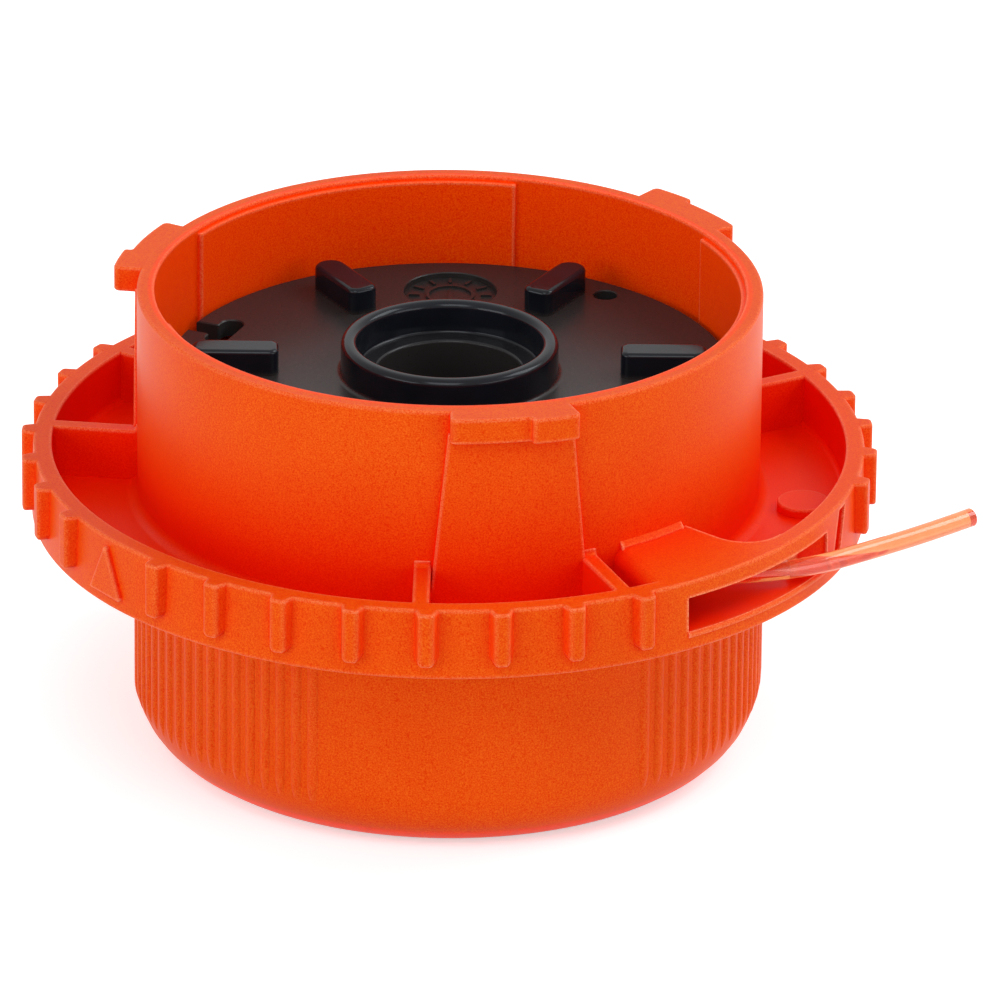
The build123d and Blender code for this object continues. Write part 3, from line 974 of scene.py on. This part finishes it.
def openness(tree, reach, inside=False):
    """How open a surface is within a reach in metres, from 0 in a corner, or inside, from 0 at an edge."""
    node = tree.nodes.new("ShaderNodeAmbientOcclusion")
    node.samples = 8
    node.inside = inside
    node.inputs["Distance"].default_value = reach
    return node.outputs["AO"]


def height(tree, place, low, high):
    """Factor that goes from 0 at one height to 1 at another, in millimetres."""
    split = new_node(tree, "ShaderNodeSeparateXYZ", {"Vector": place})
    return spread(tree, split["Z"], 0.0, 1.0, low * MM, high * MM)


def within(tree, place, inner, outer):
    """Factor that goes from 1 inside one radius to 0 outside another, in millimetres."""
    flat = vector_node(tree, "MULTIPLY", place, (1, 1, 0))["Vector"]
    radius = vector_node(tree, "LENGTH", flat)["Value"]
    return spread(tree, radius, 1.0, 0.0, inner * MM, outer * MM)


def seen_straight(tree):
    """Factor that is 1 for what the camera sees, straight, mirrored or through something clear."""
    path = tree.nodes.new("ShaderNodeLightPath").outputs
    direct_or_mirrored = math_node(tree, "MAXIMUM", path["Is Camera Ray"], path["Is Glossy Ray"])
    return math_node(tree, "MAXIMUM", direct_or_mirrored, path["Is Transmission Ray"])


def bump(tree, factor, depth, strength):
    """Bump of a given depth in metres."""
    values = {"Distance": depth, "Strength": strength, "Height": factor}
    return new_node(tree, "ShaderNodeBump", values)["Normal"]


def orange_moulding(colours):
    """Satin orange plastic: speckled grain and faint flow marks, with painted shade that reddens the
    corners and the bore, and paler edges that are partly wear and partly a painted highlight.
    """
    material, tree, shader, place = shader_material("orange moulding")
    flow = noise(tree, place, scale=70.0, detail=3.0)
    body = ramp(tree, flow, [(0.35, colours.orange_deep), (0.65, colours.orange)])
    # Painted shade: a deeper red where other surfaces hem the surface in, only above the cup
    corner = spread(tree, openness(tree, PAINTED_SHADE_REACH), 1.0, 0.0, start=0.35, end=0.97)
    above_cup = height(tree, place, FLANGE_BOTTOM, TROUGH_FLOOR - TINT_FADE)
    body = mixed(tree, math_node(tree, "MULTIPLY", corner, above_cup), body, colours.orange_painted_shade)
    # Painted shade: a redder orange inside the bore, where light bounces between the walls
    bore_shade_mask = within(tree, place, BORE_R + TINT_FADE, BORE_R + 2 * TINT_FADE)
    body = mixed(tree, bore_shade_mask, body, colours.orange_bore_painted_shade)
    # Paler convex edges: partly wear, partly a painted highlight
    wear_and_highlight = spread(tree, openness(tree, WEAR_AND_HIGHLIGHT_REACH, inside=True), 0.9, 0.0, start=0.45, end=0.96)
    body = mixed(tree, wear_and_highlight, body, colours.orange_edge_wear_and_highlight)
    grain = noise(tree, place, scale=5200.0, detail=2.0)
    finish = {
        "Base Color": vector_node(tree, "MULTIPLY", body, ramp(tree, grain, SPECKLE))["Vector"],
        "Roughness": spread(tree, grain, 0.34, 0.46),
        "Normal": bump(tree, grain, depth=0.00003, strength=0.35),
        "IOR": 1.46,
        "Specular IOR Level": 0.13,
        "Specular Tint": (1.0, 0.4, 0.15, 1.0),
    }
    fill(tree, shader, finish)
    return material


def black_moulding(colours):
    """Black plastic, with a greyer base on the reel's flange as painted sheen, and a duller finish there
    than on what stands on it.
    """
    material, tree, shader, place = shader_material("black moulding")
    cloud = noise(tree, place, scale=160.0, detail=3.0)
    body = ramp(tree, cloud, [(0.35, colours.black_deep), (0.7, colours.black)])
    # The flange below the raised parts gets a greyer black, a painted sheen, and a rougher finish
    raised = height(tree, place, REEL_TOP + RAISED_GAP, REEL_TOP + RAISED_GAP + TINT_FADE)
    grain = noise(tree, place, scale=3000.0, detail=2.0)
    dull = spread(tree, grain, 0.27, 0.37)
    finish = {
        "Base Color": mixed(tree, raised, colours.black_flange_sheen, body),
        "Roughness": math_node(tree, "MULTIPLY_ADD", raised, -RAISED_POLISH, dull),
        "Normal": bump(tree, grain, depth=0.00001, strength=0.1),
        "IOR": 1.5,
        "Specular IOR Level": 0.19,
    }
    fill(tree, shader, finish)
    return material


def clear_line(colours):
    """Clear orange monofilament, a little denser in places and faintly marked by its drawing."""
    material, tree, shader, place = shader_material("clear orange line")
    cloud = noise(tree, place, scale=300.0, detail=2.0)
    grain = noise(tree, place, scale=900.0, detail=2.0)
    finish = {
        "Base Color": ramp(tree, cloud, [(0.3, colours.line_deep), (0.7, colours.line)]),
        "Roughness": spread(tree, grain, 0.04, 0.12),
        "Transmission Weight": 0.88,
        "IOR": 1.53,
    }
    fill(tree, shader, finish)
    return material


# Settings

def tint(name, description, default):
    """Property that holds a colour."""
    return bpy.props.FloatVectorProperty(
        name=name, description=description, subtype="COLOR", default=default, min=0, max=1
    )


class CassetteSizes(bpy.types.PropertyGroup):
    """Sizes that only the looks depend on."""

    edge: bpy.props.FloatProperty(
        name="Edge rounding", description="Rounding of moulded edges",
        default=0.25 * MM, min=0, unit="LENGTH",
    )
    dog_edge: bpy.props.FloatProperty(
        name="Dog rounding", description="Rounding of the drive dogs' top edges",
        default=0.55 * MM, unit="LENGTH",
    )
    line: bpy.props.FloatProperty(
        name="Line", description="Diameter of the trimmer line", default=2.4 * MM, unit="LENGTH"
    )


class CassetteColours(bpy.types.PropertyGroup):
    """Colours of the two plastics and of the line, each with its other shades."""

    orange: tint("Orange", "Housing plastic", (0.79, 0.081, 0.003))
    orange_deep: tint("Deep orange", "Housing plastic in its flow marks", (0.76, 0.072, 0.0025))
    # Painted shade: the deep red that the housing's corners take in shade
    orange_painted_shade: tint("Corner orange", "Housing plastic deep in its corners", (0.86, 0.011, 0.0002))
    # Painted shade: a redder orange for the inside of the bore, where light bounces between the walls
    orange_bore_painted_shade: tint("Bore orange", "Housing plastic on its smoother inside", (0.97, 0.055, 0.0004))
    # Paler edges: partly wear, partly a painted highlight
    orange_edge_wear_and_highlight: tint("Edge orange", "Housing plastic where its edges are rubbed", (0.92, 0.25, 0.09))
    black: tint("Black", "Reel plastic", (0.009, 0.01, 0.014))
    # Painted sheen: a greyer, warmer black for the reel's flange
    black_flange_sheen: tint("Flange black", "Reel plastic on its flange", (0.025, 0.021, 0.02))
    black_deep: tint("Deep black", "Reel plastic in its darker clouds", (0.006, 0.0065, 0.009))
    line: tint("Line", "Clear line", (0.97, 0.32, 0.12))
    line_deep: tint("Deep line", "Clear line where it is denser", (0.93, 0.25, 0.075))


class CassetteStudio(bpy.types.PropertyGroup):
    """Camera and light."""

    distance: bpy.props.FloatProperty(
        name="Distance", description="From the camera to the object", default=1.45982, unit="LENGTH"
    )
    elevation: bpy.props.FloatProperty(
        name="Elevation", description="Of the camera above the horizon",
        default=math.radians(23.902), subtype="ANGLE",
    )
    roll: bpy.props.FloatProperty(
        name="Roll", description="Of the camera about its line of sight", default=0.011, subtype="ANGLE"
    )
    aim: bpy.props.FloatVectorProperty(
        name="Aim", description="Point at the middle of the picture", subtype="XYZ",
        default=(0.006533, 0.000528, 0.031192), unit="LENGTH",
    )
    lens: bpy.props.FloatProperty(
        name="Lens", description="Focal length in millimetres", default=415.6, min=1
    )
    sky: bpy.props.FloatProperty(
        name="Sky", description="Strength of the even light", default=0.7, min=0
    )
    key: bpy.props.FloatProperty(
        name="Key", description="Power in watts of the lamp that the others follow", default=5.5, min=0
    )


# Operators

class CASSETTE_OT_housing(bpy.types.Operator):
    """Model the orange housing over its CAD solid"""

    bl_idname = "cassette.housing"
    bl_label = "Housing"

    def execute(self, context):
        edge = context.scene.cassette_sizes.edge / MM
        material = orange_moulding(context.scene.cassette_colours)
        tree = ring_tree()
        shell = piece("housing_shell", [housing_body()], material)
        lugs = copies("lugs", [lug(edge)], material, tree)
        panels = copies("panels", [panel(edge)], material, tree)
        liners = copies("liners", [liner(edge)], material, tree)
        rib_pair = [rib(angle, lean, edge) for angle, lean in RIB_LEANS.items()]
        ribs = copies("ribs", rib_pair, material, tree)
        nubs = copies("nubs", [nub(edge)], material, tree, NUB_PLACES, NUB_PITCH, NUB_FIRST, NUB_OF_MARK)
        grips = copies("grips", [grip_rib()], material, tree, GRIP_COUNT, GRIP_PITCH, GRIP_FIRST)
        apply_tree(grips, tree, Count=THIRDS, Pitch=math.tau / THIRDS)
        plate = piece("plate", [cover_plate()], material)
        combine(plate, piece("end", [plate_end()], material), "UNION")
        combine(plate, piece("cut", [plate_edge_cut()], material), "DIFFERENCE")
        small = piece("small", [plate_strip(), slot_lip(), stud(edge), index_mark(edge)], material)
        for part in (panels, lugs, liners, ribs, nubs, grips, plate, small):
            combine(shell, part, "UNION")
        for cut in (slot_cut(), notch_cut(), window_cut()):
            combine(shell, piece("cut", [cut], material), "DIFFERENCE")
        smooth(shell)
        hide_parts("housing")
        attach(shell, HOUSING)
        return {"FINISHED"}


class CASSETTE_OT_reel(bpy.types.Operator):
    """Model the black reel over its CAD solid"""

    bl_idname = "cassette.reel"
    bl_label = "Reel"

    def execute(self, context):
        material = black_moulding(context.scene.cassette_colours)
        tree = ring_tree()
        reel = piece("reel", [reel_body()], material)
        dog_edge = context.scene.cassette_sizes.dog_edge / MM
        dogs = copies("dogs", [dog(dog_edge)], material, tree, DOG_COUNT, 360 / DOG_COUNT)
        webs = copies("webs", [web()], material, tree, WEB_COUNT, 360 / WEB_COUNT)
        for part in (dogs, webs):
            combine(reel, part, "UNION")
        eye = flared_hole(circle(EYE_R, EYE_SIDES), WIND_TOP - SUNK, HOLE_FLARE)
        eye = moved(eye, EYE_PITCH_R, EYE_ANGLE)
        recess = flared_hole(circle(STAMP_R, STAMP_SIDES), REEL_TOP - STAMP_DEPTH, HOLE_FLARE)
        recess = moved(recess, STAMP_PITCH_R, STAMP_ANGLE)
        for cut in (eye, recess, keyhole_cut()):
            combine(reel, piece("cut", [cut], material), "DIFFERENCE")
        combine(reel, piece("marks", stamp_marks(), material), "UNION")
        smooth(reel)
        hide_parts("spool")
        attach(reel, REEL)
        return {"FINISHED"}


class CASSETTE_OT_line(bpy.types.Operator):
    """Wind the line on the reel and lay its free end out through the slot"""

    bl_idname = "cassette.line"
    bl_label = "Line"

    def execute(self, context):
        material = clear_line(context.scene.cassette_colours)
        line_d = context.scene.cassette_sizes.line
        self.wind(material, line_d)
        self.lay_out(material, line_d)
        return {"FINISHED"}

    def wind(self, material, line_d):
        """Wound turns over a core of the layers below them."""
        core_r = WINDING_R - line_d / MM + WINDING_CORE_LAP
        top = WINDING_FOOT + WINDING_TURNS * line_d / MM
        core = [
            (WINDING_INNER_R, WINDING_FOOT, 0),
            (core_r, WINDING_FOOT, WINDING_CORE_EDGE),
            (core_r, top, WINDING_CORE_EDGE),
            (WINDING_INNER_R, top, 0),
        ]
        winding = piece("wound_line", [turned(rounded(core))], material)
        apply_tree(
            winding,
            winding_tree(),
            Turns=WINDING_TURNS - 1.0,
            Radius=WINDING_R * MM - line_d / 2,
            Height=(WINDING_TURNS - 1) * line_d,
            Foot=WINDING_FOOT * MM + line_d / 2,
            Line_radius=line_d / 2,
        )
        smooth(winding)
        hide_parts("line_winding")
        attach(winding, REEL)

    def lay_out(self, material, line_d):
        """Free end of the line, from the winding out through the window and the slot."""
        curve = bpy.data.curves.new("free_line", "CURVE")
        curve.dimensions = "3D"
        curve.bevel_depth = line_d / 2
        curve.bevel_resolution = 6
        curve.use_fill_caps = True
        curve.resolution_u = 16
        spline = curve.splines.new("NURBS")
        spline.points.add(len(TAIL_POINTS) - 1)
        for point, (x, y) in zip(spline.points, TAIL_POINTS):
            point.co = (x * MM, y * MM, TAIL_HEIGHT * MM, 1)
        spline.order_u = 3
        spline.use_endpoint_u = True
        curve.materials.append(material)
        tail = bpy.data.objects.new("free_line", curve)
        bpy.context.scene.collection.objects.link(tail)
        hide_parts("line_tail")
        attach(tail, HOUSING)


class CASSETTE_OT_studio(bpy.types.Operator):
    """Set the floor, the light and the camera"""

    bl_idname = "cassette.studio"
    bl_label = "Studio"

    def execute(self, context):
        studio = context.scene.cassette_studio
        self.lay_floor()
        self.light_sky(context.scene, studio.sky)
        for name, (place, size, share) in LAMPS.items():
            self.hang_lamp(name, Vector(place), size, studio.key * share)
        self.place_camera(context.scene, studio)
        context.scene.view_settings.view_transform = "Standard"
        return {"FINISHED"}

    def lay_floor(self):
        """Plain pale floor under the object."""
        shape = bmesh.new()
        bmesh.ops.create_circle(shape, cap_ends=True, segments=64, radius=FLOOR_R / MM)
        material, tree, shader, place = shader_material("pale floor")
        mottle = noise(tree, place, scale=30.0, detail=3.0)
        finish = {
            "Base Color": ramp(tree, mottle, FLOOR_GREYS),
            "Roughness": 0.9,
            "Specular IOR Level": 0.1,
            "Emission Color": (1, 1, 1, 1),
            "Emission Strength": math_node(tree, "MULTIPLY", seen_straight(tree), FLOOR_GLOW),
        }
        fill(tree, shader, finish)
        piece("floor", [shape], material)

    def light_sky(self, scene, strength):
        """Even light from all round, dimmer from the camera's side, which the camera sees as white."""
        scene.world = bpy.data.worlds.new("studio")
        scene.world.use_nodes = True
        tree = scene.world.node_tree
        background = tree.nodes["Background"]
        background.inputs["Color"].default_value = (1, 1, 1, 1)
        way = tree.nodes.new("ShaderNodeTexCoord")
        split = new_node(tree, "ShaderNodeSeparateXYZ", {"Vector": way.outputs["Generated"]})
        behind = spread(tree, split["Y"], 0.3, 1.0, start=-0.7, end=0.1)
        dimmed = math_node(tree, "MULTIPLY", behind, strength)
        level = new_node(tree, "ShaderNodeMix", {"Factor": seen_straight(tree), "A": dimmed, "B": 1.0})
        tree.links.new(level["Result"], background.inputs["Strength"])

    def hang_lamp(self, name, place, size, power):
        """Square soft lamp that looks at the object."""
        lamp = bpy.data.lights.new(name, "AREA")
        lamp.size = size
        lamp.energy = power
        lamp.color = LAMP_COLOUR
        obj = bpy.data.objects.new(name, lamp)
        obj.location = place
        obj.rotation_euler = (-place).to_track_quat("-Z", "Y").to_euler()
        bpy.context.scene.collection.objects.link(obj)

    def place_camera(self, scene, studio):
        """Camera at the photograph's angle."""
        camera = bpy.data.cameras.new("camera")
        camera.lens = studio.lens
        camera.sensor_width = 36.0
        camera.clip_end = 20.0
        obj = bpy.data.objects.new("camera", camera)
        flat = studio.distance * math.cos(studio.elevation)
        place = Vector((0, -flat, CAMERA_PIVOT + studio.distance * math.sin(studio.elevation)))
        look = (Vector(studio.aim) - place).to_track_quat("-Z", "Y").to_matrix().to_4x4()
        obj.matrix_world = Matrix.Translation(place) @ look @ Matrix.Rotation(studio.roll, 4, "Z")
        scene.collection.objects.link(obj)
        scene.camera = obj


class CASSETTE_PT_panel(bpy.types.Panel):
    """Buttons and settings for the cassette"""

    bl_idname = "CASSETTE_PT_panel"
    bl_label = "Line cassette"
    bl_space_type = "VIEW_3D"
    bl_region_type = "UI"
    bl_category = "Cassette"

    def draw(self, context):
        for operator in OPERATORS:
            self.layout.operator(operator.bl_idname)
        for group in GROUPS:
            settings = getattr(context.scene, group)
            for name in settings.__annotations__:
                self.layout.prop(settings, name)


GROUPS = {
    "cassette_sizes": CassetteSizes,
    "cassette_colours": CassetteColours,
    "cassette_studio": CassetteStudio,
}
OPERATORS = (CASSETTE_OT_housing, CASSETTE_OT_reel, CASSETTE_OT_line, CASSETTE_OT_studio)
CLASSES = (*GROUPS.values(), *OPERATORS, CASSETTE_PT_panel)


def register():
    for cls in CLASSES:
        bpy.utils.register_class(cls)
    for name, cls in GROUPS.items():
        setattr(bpy.types.Scene, name, bpy.props.PointerProperty(type=cls))


def unregister():
    for name in GROUPS:
        delattr(bpy.types.Scene, name)
    for cls in reversed(CLASSES):
        bpy.utils.unregister_class(cls)


def main():
    register()
    bpy.ops.cassette.housing()
    bpy.ops.cassette.reel()
    bpy.ops.cassette.line()
    bpy.ops.cassette.studio()


if __name__ == "__main__":
    main()
